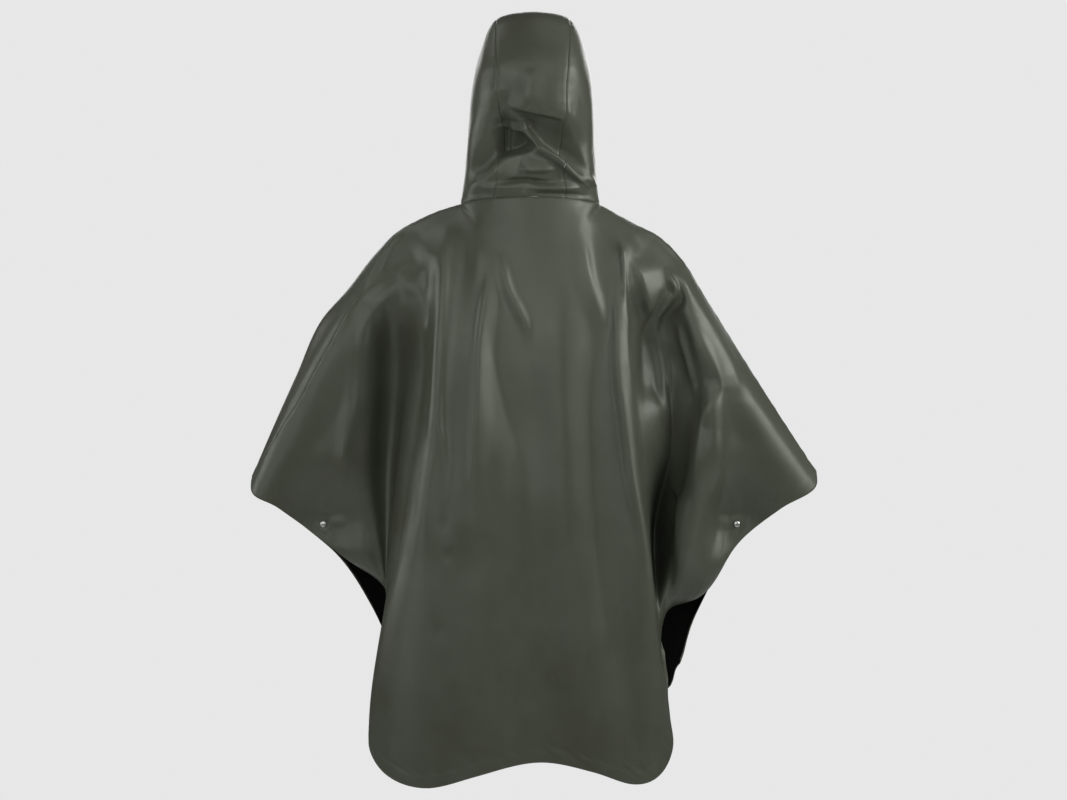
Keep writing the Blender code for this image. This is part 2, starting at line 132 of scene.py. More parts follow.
room = bpy.data.worlds.new("room")
room.use_nodes = True
room_nodes = room.node_tree
room_nodes.nodes.clear()
seen = add_node(room_nodes, "ShaderNodeBackground", {"Color": PALE, "Strength": 1.0})
thrown = add_node(room_nodes, "ShaderNodeBackground", {"Color": PALE, "Strength": ROOM_LIGHT})
path = add_node(room_nodes, "ShaderNodeLightPath")
by_ray = {0: path.outputs["Is Camera Ray"], 1: thrown.outputs[0], 2: seen.outputs[0]}
mixed = add_node(room_nodes, "ShaderNodeMixShader", by_ray)
add_node(room_nodes, "ShaderNodeOutputWorld", {"Surface": mixed.outputs[0]})
scene.world = room

floor_turn = np.linspace(0, 2 * np.pi, FLOOR_CORNERS, endpoint=False)
floor_rim = np.stack([FLOOR_RADIUS * np.cos(floor_turn), FLOOR_RADIUS * np.sin(floor_turn)], axis=1)
floor_finish, _, floor_shader = new_finish("pale_floor")
floor_shader.inputs["Base Color"].default_value = PALE
floor_shader.inputs["Roughness"].default_value = FLOOR_ROUGHNESS
floor_points = [(x, y, -FLOOR_DROP) for x, y in floor_rim]
floor = new_piece("floor", floor_points, [range(FLOOR_CORNERS)], [floor_finish])

# ---------------------------------------------------------------- back
# One piece of knit with a smooth coating, cut from cuff to cuff. It is sewn to the front along the
# shoulders and arms and to the hood at the neck, and its other edges are turned in and taped.

CUFF = 0.748  # how far across the cuff's corner lies,
NECK = 0.122  # and how far the side of the neck
LIMB_BACK = 0.92  # how far the cloth has gone over the arm by place OVER, in limb radii,
LIMB_DOWN = 0.72  # and how far it has come down
OVER = 0.06
RIB_PLACES = (0.0, 0.25, 0.50, 0.75, 1.0)  # where a rib's points stand, from the top line to the hem
NECK_FALL = (0.012, 0.0, -0.018)  # the front falls away beside the neck by this much more
SEAM_BLEND = 0.045  # by this place the cloth no longer follows the top line's small bends
SPACING_STEPS = 8001  # steps in which the spacing of the mesh lines is added up
TINY = 1e-12  # keeps a length from being 0
FOLD_HEAD = 0.16  # a fold rises and dies away over these shares of its length
FOLD_FOOT = 0.20
CREASE_HEAD = 0.30  # and so does a crease, over these
CREASE_FOOT = 0.40
CREASE_STEPS = 24  # straight stretches that a crease's curve is taken as
CREASE_SPREAD = 1.8  # a crease's side reaches this many of its widths
CREASE_SOFT = 0.25  # and runs out this softly

CLOTH_WALL = 0.0010
SEAM_SETBACK = 0.00015  # the cloth stops this short of a seam
SEAM_DIP = 0.0007  # the cloth turns in at a seam by this much,
SEAM_TURN = 0.0020  # over this width,
SEAM_LAP = 0.0080  # and lies over its seam allowance out to here,
SEAM_RAISE = 0.0002  # this much higher
SEAM_HOLD = 0.022  # creases die away this close to a seam
PUCKER = 0.0005  # height of the small puckers that the sewing leaves
PUCKER_REACH = 0.012
PUCKER_LENGTHS = (0.031, 0.019, 0.047)  # of the three waves that they are made of
HEM_BAND = 0.022  # width of the taped hem
HEM_RAISE = 0.0003
HEM_LINE = 0.0012  # width of the groove along the tape's inner line
HEM_TURN = 0.005  # the edge is turned in by this much, so the outer side shows inside

SNAP_X = 0.363
SNAP_Y = -0.020
SNAP_Z = -0.559
SNAP_FLAT = 0.010  # the cloth lies flat this far round a snap,
SNAP_REACH = 0.074  # is drawn to it less and less over this width,
SNAP_DEPTH = 0.100  # and not at all this far before or behind it,
SNAP_FAR = 1.0  # where this stands for its distance
SNAP_CLOTH_GAP = 0.0044  # between the frame's two walls at a snap
CAD_WALL = 0.0015  # the frame's walls, whose middle the cloth keeps to
RING_RADIUS = 0.0075  # the cloth is pressed down in a ring round each snap
RING_WIDTH = 0.0016
RING_DEPTH = 0.0005

# How close the cloth's mesh lines stand, at places across and at shares of the way down.
COLUMN_SPACING = [
    (-CUFF, 0.0030), (-0.700, 0.0040), (-0.620, 0.0070), (-0.540, 0.0050), (-0.330, 0.0040),
    (0.330, 0.0040), (0.400, 0.0060), (0.620, 0.0070), (0.700, 0.0040), (CUFF, 0.0030),
]
ROW_SPACING = [
    (0.0, 0.0015), (0.008, 0.0020), (0.03, 0.0049), (0.35, 0.0057), (0.50, 0.0090), (0.94, 0.0120),
    (0.97, 0.0030), (1.0, 0.0030),
]

# The top of the shoulder and arm, from the right cuff's corner to the left one's.
TOP_LINE = [
    # across,  x,       y,      z
    (-CUFF, -0.504, -0.050, -0.466),
    (-0.554, -0.4005, -0.030, -0.309),
    (-0.382, -0.3085, -0.013, -0.1635),
    (-0.296, -0.2625, -0.006, -0.091),
    (-0.248, -0.229, -0.003, -0.0575),
    (-0.188, -0.175, 0.000, -0.029),
    (-NECK, -0.121, 0.002, 0.0005),
    (NECK, 0.121, 0.002, 0.0005),
    (0.188, 0.184, 0.000, -0.021),
    (0.248, 0.2365, -0.003, -0.051),
    (0.296, 0.269, -0.006, -0.084),
    (0.382, 0.323, -0.013, -0.152),
    (0.441, 0.3625, -0.018, -0.1965),
    (0.554, 0.411, -0.030, -0.299),
    (CUFF, 0.490, -0.050, -0.476),
]

# Radius of what the cloth rounds, under the top line. A row gives across and the radius.
LIMB = [(NECK, 0.045), (0.188, 0.050), (0.248, 0.052), (0.382, 0.046), (0.554, 0.040), (CUFF, 0.029)]

# Where the seam between front and back lies: on top, but set back on the left arm, whose front cloth
# wraps over the top. A row gives across and the place.
SEAM_PLACE = [
    (0.20, 0.0), (0.26, 0.012), (0.32, 0.050), (0.42, 0.090), (0.55, 0.105), (0.66, 0.075), (CUFF, 0.014),
]

# Ribs, each a line that runs down the cloth from the top line to the hem, with three points on the way
# and one on the hem. A rib serves both sides.
BACK_RIBS = [
    # across, quarter way,             half way,                three quarters,          hem
    (0.000, (0.000, 0.116, -0.20), (0.000, 0.126, -0.45), (0.000, 0.139, -0.71), (0.000, 0.152, -0.960)),
    (0.066, (0.066, 0.118, -0.20), (0.074, 0.133, -0.46), (0.088, 0.150, -0.72), (0.100, 0.164, -0.976)),
    (NECK, (0.124, 0.110, -0.21), (0.138, 0.126, -0.47), (0.158, 0.140, -0.735), (0.178, 0.148, -0.998)),
    (0.188, (0.164, 0.092, -0.22), (0.184, 0.108, -0.48), (0.213, 0.118, -0.74), (0.236, 0.116, -0.984)),
    (0.248, (0.184, 0.054, -0.24), (0.211, 0.066, -0.50), (0.246, 0.078, -0.742), (0.264, 0.066, -0.940)),
    (0.296, (0.220, 0.006, -0.26), (0.231, 0.000, -0.50), (0.247, 0.036, -0.738), (0.260, 0.030, -0.895)),
    (0.382, (0.284, 0.026, -0.32), (0.276, 0.024, -0.51), (0.243, -0.002, -0.728), (0.250, 0.000, -0.856)),
    (0.554, (0.367, 0.030, -0.420), (0.312, 0.036, -0.568), (0.238, -0.036, -0.710), (0.241, -0.028, -0.820)),
    (CUFF, (0.440, 0.006, -0.531), (0.334, -0.006, -0.611), (0.240, -0.058, -0.688), (0.238, -0.052, -0.788)),
]

FRONT_RIBS = [
    # across, quarter way,             half way,                three quarters,          hem
    (0.000, (0.000, -0.134, -0.27), (0.000, -0.148, -0.48), (0.000, -0.158, -0.70), (0.000, -0.166, -0.935)),
    (0.066, (0.068, -0.134, -0.27), (0.076, -0.156, -0.49), (0.086, -0.170, -0.71), (0.096, -0.182, -0.940)),
    (NECK, (0.130, -0.122, -0.25), (0.142, -0.144, -0.48), (0.150, -0.162, -0.70), (0.158, -0.176, -0.922)),
    (0.188, (0.184, -0.104, -0.25), (0.192, -0.130, -0.48), (0.196, -0.154, -0.69), (0.202, -0.166, -0.896)),
    (0.248, (0.222, -0.078, -0.27), (0.226, -0.108, -0.50), (0.228, -0.142, -0.69), (0.231, -0.150, -0.870)),
    (0.296, (0.252, -0.062, -0.30), (0.250, -0.080, -0.53), (0.248, -0.124, -0.69), (0.246, -0.128, -0.846)),
    (0.382, (0.300, -0.070, -0.33), (0.278, -0.084, -0.53), (0.258, -0.106, -0.70), (0.252, -0.108, -0.822)),
    (0.554, (0.372, -0.088, -0.42), (0.312, -0.086, -0.572), (0.270, -0.082, -0.70), (0.252, -0.086, -0.798)),
    (CUFF, (0.440, -0.084, -0.532), (0.341, -0.052, -0.612), (0.284, -0.056, -0.697), (0.25, -0.064, -0.774)),
]

# Where the left and the right differ: each row moves the cloth about one spot by a soft hump.
NUDGES = [
    # across, place, reach across, reach down, by x,   y,      z
    # the back's lower edges and the waves of its hem
    (0.270, 0.92, 0.120, 0.24, 0.016, 0.000, 0.000),
    (-0.270, 0.80, 0.140, 0.30, 0.027, 0.000, 0.003),
    (0.090, 1.00, 0.050, 0.12, 0.000, 0.000, -0.007),
    (0.000, 1.00, 0.090, 0.25, -0.016, 0.000, 0.000),
    (-0.050, 0.95, 0.100, 0.35, 0.000, -0.022, 0.000),
    # the deep fold under the right arm, and the right wing with its flap
    (-0.310, 0.57, 0.052, 0.11, 0.010, -0.080, 0.000),
    (-0.460, 0.56, 0.070, 0.16, 0.016, 0.004, 0.000),
    (-0.470, 0.38, 0.090, 0.17, 0.000, 0.022, 0.000),
    (-0.740, 0.62, 0.200, 0.13, -0.016, 0.000, -0.040),
    # the front's side and lower corner on the right
    (-0.680, -0.66, 0.160, 0.16, -0.010, 0.000, -0.012),
    (-0.640, -0.92, 0.160, 0.22, -0.010, 0.000, -0.024),
    (-CUFF, -1.00, 0.090, 0.17, -0.009, 0.014, -0.010),
    (-0.400, -1.00, 0.130, 0.16, 0.000, 0.000, -0.022),
    # the finer forms of the valleys beside the back's column
    (-0.292, 0.40, 0.036, 0.15, -0.016, 0.034, 0.000),
    (-0.368, 0.50, 0.026, 0.10, 0.000, -0.012, 0.000),
    (0.286, 0.40, 0.030, 0.20, 0.010, 0.012, 0.000),
    (0.345, 0.42, 0.030, 0.20, 0.000, -0.014, 0.000),
]

# The body's largest folds, each a soft ridge, or a trough where its height is below 0, that runs along
# a curve through three spots in the cloth.
FOLDS = [
    # head across, place; middle across, place; foot across, place; width, height
    (0.150, 0.08, 0.158, 0.30, 0.170, 0.60, 0.024, 0.006),
    (0.075, 0.10, 0.085, 0.30, 0.090, 0.62, 0.026, 0.006),
    (-0.110, 0.10, -0.125, 0.40, -0.135, 0.95, 0.040, -0.009),
    (-0.185, 0.08, -0.190, 0.35, -0.215, 0.90, 0.024, 0.008),
    (-0.290, 0.10, -0.290, 0.22, -0.280, 0.34, 0.026, -0.010),
    (-0.350, 0.12, -0.470, 0.30, -0.560, 0.52, 0.034, 0.010),
    (0.330, 0.12, 0.420, 0.25, 0.520, 0.40, 0.040, 0.006),
    (0.060, -0.12, 0.072, -0.50, 0.085, -0.98, 0.030, 0.009),
    (-0.050, -0.10, -0.068, -0.50, -0.090, -0.98, 0.032, 0.008),
    (0.150, -0.15, 0.160, -0.45, 0.170, -0.90, 0.026, -0.008),
    (-0.145, -0.12, -0.160, -0.45, -0.175, -0.92, 0.028, -0.009),
    (0.340, -0.12, 0.430, -0.26, 0.520, -0.44, 0.032, 0.008),
    (-0.330, -0.14, -0.420, -0.30, -0.530, -0.46, 0.030, 0.008),
]

# Half of the neck seam, with its points at the shares round it that HOOP_ROUND gives.
HOOP_ROUND = (0.00, 0.25, 0.50, 0.6667, 0.8333, 1.00)
NECK_HOOP = (
    (0, -0.086, -0.052), (0.080, -0.060, -0.034), (0.121, 0.002, 0.0005),  # throat, jaw, side
    (0.109, 0.038, 0.003), (0.061, 0.069, 0.008), (0, 0.078, 0.010),  # upper side, strip seam, nape
)

# The back's creases, each a ridge, or a trough where its height is below 0, along the spots it runs
# through. Its widths are those on the wearer's left and on the right of it, and round is how round its
# top is, from 0.1 for a sharp crease to 1 for a soft roll.
BACK_CREASES = [
    # spots (across, place), width left, width right, height, round
    # the big column's left edge, the valley beside it and the puckers over it
    ([(0.196, 0.115), (0.206, 0.23), (0.25, 0.3), (0.262, 0.35), (0.262, 0.45), (0.266, 0.57),
      (0.258, 0.68)], 0.018, 0.044, 0.0045, 0.9),
    ([(0.262, 0.11), (0.282, 0.15), (0.312, 0.22), (0.336, 0.313), (0.335, 0.42), (0.328, 0.52),
      (0.3, 0.6)], 0.024, 0.024, -0.007, 0.8),
    ([(0.182, 0.105), (0.194, 0.15), (0.208, 0.19), (0.222, 0.27)], 0.006, 0.01, -0.0045, 0.3),
    ([(0.26, 0.095), (0.276, 0.127), (0.294, 0.136), (0.31, 0.15), (0.332, 0.2)],
     0.009, 0.009, 0.003, 0.3),
    ([(0.238, 0.09), (0.242, 0.13), (0.24, 0.17)], 0.008, 0.008, 0.0028, 0.3),
    ([(0.202, 0.115), (0.222, 0.142), (0.24, 0.17)], 0.008, 0.008, 0.0025, 0.3),
    # the two long ridges left of the middle, the slant beside the second, and a short one near the middle
    ([(0.15, 0.04), (0.152, 0.14), (0.158, 0.24), (0.16, 0.33), (0.154, 0.41), (0.136, 0.46),
      (0.122, 0.58)], 0.012, 0.006, 0.007, 0.12),
    ([(0.052, 0.1), (0.064, 0.17), (0.078, 0.23), (0.086, 0.3), (0.086, 0.4), (0.084, 0.58)],
     0.005, 0.014, 0.0095, 0.12),
    ([(0.086, 0.19), (0.074, 0.25), (0.06, 0.33), (0.036, 0.41), (0.014, 0.48), (-0.004, 0.58)],
     0.022, 0.04, -0.008, 0.12),
    ([(0.042, 0.11), (0.036, 0.19), (0.021, 0.23), (0.008, 0.262), (0.0, 0.31)],
     0.008, 0.006, 0.0075, 0.12),
    # right of the middle, a broad light roll that runs into the right column's soft valley
    ([(-0.078, 0.07), (-0.098, 0.165), (-0.118, 0.22), (-0.14, 0.29)], 0.016, 0.008, 0.0065, 0.25),
    ([(-0.086, 0.18), (-0.104, 0.29), (-0.098, 0.4), (-0.096, 0.55), (-0.1, 0.7), (-0.1, 0.88)],
     0.05, 0.02, -0.013, 0.4),
    ([(-0.056, 0.19), (-0.05, 0.45), (-0.044, 0.74)], 0.022, 0.018, 0.0035, 0.6),
    # the right column's long sharp ridge
    ([(-0.168, 0.08), (-0.156, 0.15), (-0.16, 0.24), (-0.16, 0.33), (-0.169, 0.4), (-0.178, 0.49),
      (-0.193, 0.57), (-0.208, 0.663), (-0.217, 0.77), (-0.224, 0.92)], 0.007, 0.008, 0.009, 0.12),
    # the crumpled right shoulder: a sharp second rim, a long dark trough like an S that starts at its head,
    # a flat facet beside it, and a smaller S of one ridge between two troughs
    ([(-0.166, 0.075), (-0.172, 0.115), (-0.176, 0.16), (-0.184, 0.205)], 0.004, 0.004, 0.0055, 0.12),
    ([(-0.172, 0.088), (-0.184, 0.145), (-0.204, 0.174), (-0.24, 0.192), (-0.266, 0.22), (-0.274, 0.26),
      (-0.268, 0.32), (-0.254, 0.39)], 0.02, 0.009, -0.01, 0.2),
    ([(-0.19, 0.098), (-0.214, 0.128), (-0.248, 0.168), (-0.28, 0.2)], 0.005, 0.026, 0.009, 0.12),
    ([(-0.206, 0.22), (-0.216, 0.27), (-0.226, 0.33)], 0.01, 0.006, -0.004, 0.3),
    ([(-0.28, 0.18), (-0.292, 0.23), (-0.302, 0.275), (-0.304, 0.33), (-0.296, 0.39)],
     0.006, 0.012, 0.009, 0.2),
    ([(-0.306, 0.175), (-0.316, 0.23), (-0.326, 0.28), (-0.322, 0.34)], 0.008, 0.012, 0.006, 0.3),
    ([(-0.262, 0.06), (-0.272, 0.086), (-0.292, 0.103), (-0.286, 0.14), (-0.282, 0.175), (-0.288, 0.215)],
     0.004, 0.004, 0.007, 0.12),
    ([(-0.276, 0.068), (-0.306, 0.1), (-0.3, 0.15), (-0.294, 0.185), (-0.302, 0.22)],
     0.005, 0.006, -0.008, 0.2),
    ([(-0.272, 0.11), (-0.27, 0.15), (-0.272, 0.2), (-0.28, 0.26)], 0.004, 0.004, -0.006, 0.2),
    # the right arm's ridges and valleys, which fan out to the cuff
    ([(-0.306, 0.09), (-0.334, 0.12), (-0.37, 0.134), (-0.412, 0.158), (-0.44, 0.178), (-0.44, 0.24),
      (-0.424, 0.33), (-0.438, 0.43), (-0.474, 0.53), (-0.51, 0.63), (-0.56, 0.78)],
     0.02, 0.022, 0.018, 0.12),
    ([(-0.316, 0.128), (-0.332, 0.142), (-0.38, 0.18), (-0.42, 0.215), (-0.436, 0.28)],
     0.01, 0.01, -0.0055, 0.3),
    ([(-0.31, 0.155), (-0.345, 0.185), (-0.372, 0.215), (-0.4, 0.28)], 0.005, 0.005, 0.0065, 0.15),
    ([(-0.33, 0.05), (-0.356, 0.06), (-0.436, 0.07), (-0.484, 0.118), (-0.51, 0.165)],
     0.014, 0.014, 0.003, 0.6),
    ([(-0.5, 0.15), (-0.52, 0.23), (-0.555, 0.32), (-0.59, 0.4), (-0.63, 0.48)],
     0.026, 0.036, -0.007, 0.4),
    ([(-0.376, 0.205), (-0.382, 0.27), (-0.377, 0.397), (-0.38, 0.497), (-0.372, 0.58)],
     0.02, 0.014, -0.003, 0.5),
    ([(-0.296, 0.31), (-0.312, 0.4), (-0.3, 0.49)], 0.018, 0.018, 0.006, 0.6),
    # the flap's edge over the deep fold, and small puckers that run to the snaps
    ([(-0.32, 0.47), (-0.372, 0.505), (-0.425, 0.55), (-0.47, 0.61), (-0.5, 0.68)],
     0.003, 0.018, 0.009, 0.12),
    ([(-0.655, 0.395), (-0.6, 0.372), (-0.545, 0.372)], 0.007, 0.007, 0.002, 0.3),
    ([(-0.66, 0.43), (-0.61, 0.44), (-0.56, 0.47)], 0.007, 0.008, 0.0018, 0.3),
    ([(0.655, 0.39), (0.59, 0.372), (0.53, 0.385)], 0.008, 0.007, 0.003, 0.2),
    ([(0.66, 0.43), (0.61, 0.445), (0.565, 0.48)], 0.007, 0.007, 0.0025, 0.2),
    # the left arm's soft ridges
    ([(0.345, 0.09), (0.352, 0.17), (0.372, 0.24), (0.41, 0.3), (0.44, 0.36)], 0.034, 0.02, 0.009, 0.4),
    # the smooth way from the shoulders down to the arms
    ([(0.18, 0.075), (0.25, 0.078), (0.34, 0.085)], 0.03, 0.03, -0.016, 1.0),
    ([(-0.18, 0.065), (-0.25, 0.07), (-0.31, 0.075)], 0.03, 0.03, -0.01, 1.0),
    # small dents low on the left half
    ([(0.14, 0.572), (0.128, 0.578), (0.112, 0.588)], 0.004, 0.004, -0.002, 0.3),
    ([(0.124, 0.622), (0.11, 0.632), (0.096, 0.634)], 0.005, 0.005, -0.0024, 0.3),
    ([(0.128, 0.745), (0.116, 0.755), (0.104, 0.757)], 0.005, 0.005, -0.0016, 0.3),
]

OLIVE_DARK = (0.057, 0.061, 0.045, 1.0)
OLIVE_LIGHT = (0.068, 0.075, 0.056, 1.0)
GLOSS_TINT = (0.90, 0.96, 0.87, 1.0)
KNIT_BLACK = (0.0065, 0.0065, 0.0062, 1.0)
MOTTLE_SCALE = 6.0  # each scale is about how many spots of a pattern lie along a metre
MOTTLE_EDGES = (0.35, 0.65)  # noise below the first is the dark olive, and above the second the light one
GLOSS_SCALE = 34.0
UNEVEN_SCALE = 26.0
UNEVEN_STRETCH = (1.0, 1.0, 0.4)  # the unevenness runs on down the cloth
GRAIN_SCALE = 900.0
CLOTH_ROUGHNESS = (0.30, 0.40)
CLOTH_GLOSS = 0.4
NOISE_RANGE = (0.3, 0.7)  # what most of a noise lies between
KNIT_SCALE = 210.0
KNIT_ROUGHNESS = 0.85
KNIT_GLOSS = 0.15
HEM_FINISH = 2  # place of the turned hem's finish among the cloth's


def through(stations, points, at):
    """The smooth cubic through each point at its station, read at the stations in at.

    A Hermite cubic joins neighbours. The slope at a point is the mean of the slopes on both sides of it,
    each in the share of the other side's length, and at an end it is 1.5 times the last slope less half
    the one before.
    """
    stations = np.asarray(stations, float)
    points = np.asarray(points, float)
    at = np.asarray(at, float)
    steps = np.diff(stations)[:, None]
    slopes = np.diff(points, axis=0) / steps
    tangents = np.empty_like(points)
    tangents[0] = 1.5 * slopes[0] - 0.5 * slopes[1]
    tangents[-1] = 1.5 * slopes[-1] - 0.5 * slopes[-2]
    tangents[1:-1] = (steps[1:] * slopes[:-1] + steps[:-1] * slopes[1:]) / (steps[1:] + steps[:-1])
    span = np.clip(np.searchsorted(stations, at, side="right") - 1, 0, len(stations) - 2)
    width = steps[span]
    t = ((at - stations[span])[:, None]) / width
    return (
        (2 * t**3 - 3 * t**2 + 1) * points[span]
        + (t**3 - 2 * t**2 + t) * width * tangents[span]
        + (3 * t**2 - 2 * t**3) * points[span + 1]
        + (t**3 - t**2) * width * tangents[span + 1]
    )


def smooth_step(t):
    """3t² - 2t³, held at 0 below 0 and at 1 above 1."""
    t = np.clip(t, 0, 1)
    return t * t * (3 - 2 * t)


def spread(spacings):
    """Lines from the table's first place to its last, as far apart as the table says there.

    The count of lines up to a place is the sum of 1 / gap over the way, and a line lies where that sum,
    stretched to end on a whole number, passes each whole number.
    """
    places, gaps = np.array(spacings).T
    fine = np.linspace(places[0], places[-1], SPACING_STEPS)
    crowd = 1 / np.interp(fine, places, gaps)
    count = np.concatenate([[0], np.cumsum((crowd[1:] + crowd[:-1]) / 2 * np.diff(fine))])
    return np.interp(np.linspace(0, count[-1], round(count[-1]) + 1), count, fine)


def hoop_points(hoop, rounds):
    """A hoop read at shares round it: 0 is the throat, 1 the nape or the top, and 2 the throat again.

    It is the smooth cubic through the half's points and the same points mirrored.
    """
    half = np.array(hoop, float)
    other_half = half[::-1] * (-1, 1, 1)
    stations = [-HOOP_ROUND[1], *HOOP_ROUND, *(2 - np.array(HOOP_ROUND[-2::-1])), 2 + HOOP_ROUND[1]]
    points = np.concatenate([other_half[-2:-1], half, other_half[1:], half[1:2]])
    return through(stations, points, rounds)


def top_points(across, behind):
    """Where the cloth starts: the smooth cubic through each side's top line, and the neck seam between."""
    table = np.array(TOP_LINE)
    half = len(table) // 2
    right = through(table[:half, 0], table[:half, 1:], across)
    left = through(table[half:, 0], table[half:, 1:], across)
    share = np.clip(0.5 * across / NECK, -0.5, 0.5)
    neck = hoop_points(NECK_HOOP, 1 - share if behind else np.mod(share, 2))
    beyond = np.where((across < 0)[:, None], right, left)
    return np.where((np.abs(across) < NECK)[:, None], neck, beyond)


def rib_line(rib, side, behind, places):
    """One rib on one side, read at places from the top line at 0 to the hem at 1.

    It is the smooth cubic from its point of the top line through the rib's own points. From the neck's
    side outwards it also passes a spot before and behind the limb that it rounds.
    """
    across = rib[0]
    top = top_points(np.array([side * across]), behind)[0]
    stations = list(RIB_PLACES)
    points = [top] + [np.array(p) * (side, 1, 1) for p in rib[1:]]
    if across >= NECK:
        limbs = np.array(LIMB)
        limb = np.interp(across, limbs[:, 0], limbs[:, 1])
        away = 1 if behind else -1
        stations = [-OVER, 0.0, OVER] + stations[1:]
        over = top + limb * np.array([0, away * LIMB_BACK, -LIMB_DOWN])
        other_over = top + limb * np.array([0, -away * LIMB_BACK, -LIMB_DOWN])
        if across == NECK and not behind:
            over = over + np.array(NECK_FALL) * (side, 1, 1)
        points = [other_over, top, over] + points[1:]
    return through(stations, points, places)


def half_sheet(ribs, behind, across, places):
    """The back's or the front's points for a grid of places, with one column for each entry of across.

    Each point is a sum of the ribs' points at its place, in shares from the smooth cubic through all the
    ribs, and near the top it is moved to start from the top line.
    """
    signed = [(rib, -1) for rib in ribs[:0:-1]] + [(rib, 1) for rib in ribs]
    stations = [side * rib[0] for rib, side in signed]
    shares = through(stations, np.eye(len(stations)), across)
    lines = np.array([rib_line(rib, side, behind, places.ravel()) for rib, side in signed])
    starts = np.array([rib_line(rib, side, behind, [0.0])[0] for rib, side in signed])
    points = np.einsum("cs,srcx->rcx", shares, lines.reshape(-1, *places.shape, 3))
    fade = 1 - smooth_step(places / SEAM_BLEND)
    return points + fade[..., None] * (top_points(across, behind) - shares @ starts)


def fold_height(row, across, place):
    """How far one fold lifts each spot: height times exp(-(d / width)²), fading at both ends.

    d is how far across the spot lies from the parabola through the fold's three spots.
    """
    head_across, head, middle_across, middle, foot_across, foot, width, height = row
    share = (middle - head) / (foot - head)
    t = np.clip((place - head) / (foot - head), 0, 1)
    line = head_across * (t - share) * (t - 1) / share
    line = line + middle_across * t * (t - 1) / (share * (share - 1))
    line = line + foot_across * t * (t - share) / (1 - share)
    off_line = (across - line) / width
    along = (place - head) / (foot - head)
    ends = smooth_step(along / FOLD_HEAD + 0.5) * smooth_step((1 - along) / FOLD_FOOT + 0.5)
    return height * np.exp(-off_line * off_line) * ends


def normals_of(points, outward):
    """Unit normals of a grid of points, turned to the side where outward is mostly positive."""
    normals = np.cross(np.gradient(points, axis=0), np.gradient(points, axis=1))
    normals /= np.linalg.norm(normals, axis=2, keepdims=True) + TINY
    return normals * np.sign((normals * outward).sum(axis=2).mean())


def near_snaps(points):
    """Each point's distance from the nearer snap's axis, or SNAP_FAR for one that isn't at its depth."""
    left = np.hypot(points[..., 0] - SNAP_X, points[..., 2] - SNAP_Z)
    right = np.hypot(points[..., 0] + SNAP_X, points[..., 2] - SNAP_Z)
    return np.where(np.abs(points[..., 1] - SNAP_Y) < SNAP_DEPTH, np.minimum(left, right), SNAP_FAR)


def body_points(across, places, away):
    """The body's cloth without its creases, on a grid. away is 1 for the back and -1 for the front.

    The ribs' surface, plus a hump exp(-(a / reach)² - (p / reach)²) for each nudge, plus each fold along
    the normal. Round each snap it is drawn to the snap's plane, by 1 within SNAP_FLAT and beyond that by
    exp(-(d / SNAP_REACH)²), where d is the distance past SNAP_FLAT.
    """
    back = half_sheet(BACK_RIBS, True, across, np.maximum(places, 0))
    front = half_sheet(FRONT_RIBS, False, across, np.maximum(-places, 0))
    behind = places > 0 if away < 0 else places >= 0
    points = np.where(behind[..., None], back, front)
    across = np.broadcast_to(across, places.shape)
    for at, place, reach_across, reach_down, dx, dy, dz in NUDGES:
        hump = np.exp(-(((across - at) / reach_across) ** 2) - ((places - place) / reach_down) ** 2)
        points = points + hump[..., None] * (dx, dy, dz)
    lift = sum(fold_height(row, across, places) for row in FOLDS)
    points = points + lift[..., None] * normals_of(points, (0, away, 0))
    pull = np.exp(-((np.maximum(near_snaps(points) - SNAP_FLAT, 0) / SNAP_REACH) ** 2))
    points[..., 1] += pull * (SNAP_Y + away * (SNAP_CLOTH_GAP + CAD_WALL) / 2 - points[..., 1])
    return points


def beside(points, spots, line, line_spots):
    """How far each point lies from a line, how far along it (0 to 1), and whether on its left.

    points and line are in space, and spots and line_spots the same points as (across, place). The
    distance is the least one to any stretch of the line.
    """
    flat = points.reshape(-1, 1, 3)
    step = np.diff(line, axis=0)
    along = np.clip(((flat - line[:-1]) * step).sum(axis=2) / (step**2).sum(axis=1), 0, 1)
    gap = np.linalg.norm(flat - line[:-1] - along[..., None] * step, axis=2)
    nearest = gap.argmin(axis=1)
    picked = (np.arange(len(flat)), nearest)
    reach = np.concatenate([[0], np.cumsum(np.linalg.norm(step, axis=1))])
    share = (reach[nearest] + along[picked] * np.diff(reach)[nearest]) / reach[-1]
    spot_step = np.diff(line_spots, axis=0)[nearest]
    offset = spots.reshape(-1, 2) - line_spots[nearest]
    left = offset[:, 0] * spot_step[:, 1] - offset[:, 1] * spot_step[:, 0] > 0
    shape = points.shape[:2]
    return gap[picked].reshape(shape), share.reshape(shape), left.reshape(shape)


def read_grid(points, at_row, at_column):
    """Points of a grid at fractional rows and columns, each the mean of its four corners by nearness."""
    row = np.clip(at_row.astype(int), 0, points.shape[0] - 2)
    column = np.clip(at_column.astype(int), 0, points.shape[1] - 2)
    u = (at_column - column)[:, None]
    v = (at_row - row)[:, None]
    upper = points[row, column] * (1 - u) + points[row, column + 1] * u
    lower = points[row + 1, column] * (1 - u) + points[row + 1, column + 1] * u
    return upper * (1 - v) + lower * v


